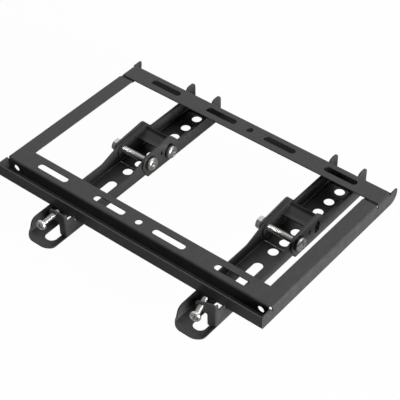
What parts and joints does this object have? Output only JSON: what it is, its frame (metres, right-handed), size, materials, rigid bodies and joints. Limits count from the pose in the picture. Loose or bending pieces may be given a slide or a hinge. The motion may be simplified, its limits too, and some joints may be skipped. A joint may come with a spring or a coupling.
{
  "type": "tv mount",
  "caption": "Tilting wall bracket for a flat television: slotted wall plate, arms that hook over its rails, tilting channels and lock screws.",
  "frame": {"origin": "centre of the wall slots, on the face that lies against the wall", "axes": "+X along the rails, +Y towards the rail that the arms hook over, +Z into the wall"},
  "size_m": [0.3574, 0.2836, 0.0352],
  "materials": {
    "plate_black": "satin black powder coat",
    "arm_black": "satin black powder coat",
    "washer_black": "blackened",
    "zinc": "bright zinc plate"
  },
  "bodies": {
    "wall_plate": {"base_frame": "plate_black", "upper_rail": "plate_black"},
    "left_hook_arm": {"left_hook_arm": "arm_black", "left_tilt_stirrup": "arm_black", "left_pivot_bolt": "zinc", "left_pivot_nut": "zinc", "left_pivot_head_washer": "washer_black", "left_pivot_nut_washer": "washer_black", "left_tilt_bolt": "zinc", "left_tilt_nut": "zinc", "left_tilt_head_washer": "washer_black", "left_tilt_nut_washer": "washer_black"},
    "left_tv_arm": {"left_tv_arm": "arm_black"},
    "left_lock_screw": {"left_lock_screw": "zinc"},
    "right_hook_arm": {"right_hook_arm": "arm_black", "right_tilt_stirrup": "arm_black", "right_pivot_bolt": "zinc", "right_pivot_nut": "zinc", "right_pivot_head_washer": "washer_black", "right_pivot_nut_washer": "washer_black"},
    "right_tv_arm": {"right_tv_arm": "arm_black"},
    "right_lock_screw": {"right_lock_screw": "zinc"}
  },
  "joints": [
    {"name": "left_arm_slide", "type": "slide", "parent": "wall_plate", "child": "left_hook_arm", "axis": [1, 0, 0], "range_m": [-0.0545, 0.0505]},
    {"name": "left_tilt", "type": "hinge", "parent": "left_hook_arm", "child": "left_tv_arm", "pos_m": [-0.0845, -0.0024, -0.0168], "axis": [-1, 0, 0], "range_deg": [0, 10]},
    {"name": "left_lock_travel", "type": "slide", "parent": "left_hook_arm", "child": "left_lock_screw", "axis": [-0.0314, 0.9995, 0], "range_m": [-0.006, 0.008]},
    {"name": "right_arm_slide", "type": "slide", "parent": "wall_plate", "child": "right_hook_arm", "axis": [1, 0, 0], "range_m": [-0.0815, 0.0255]},
    {"name": "right_tilt", "type": "hinge", "parent": "right_hook_arm", "child": "right_tv_arm", "pos_m": [0.1155, -0.0024, -0.0168], "axis": [-1, 0, 0], "range_deg": [0, 10]},
    {"name": "right_lock_travel", "type": "slide", "parent": "right_hook_arm", "child": "right_lock_screw", "axis": [-0.2874, 0.9578, 0], "range_m": [-0.01, 0.0075]}
  ]
}
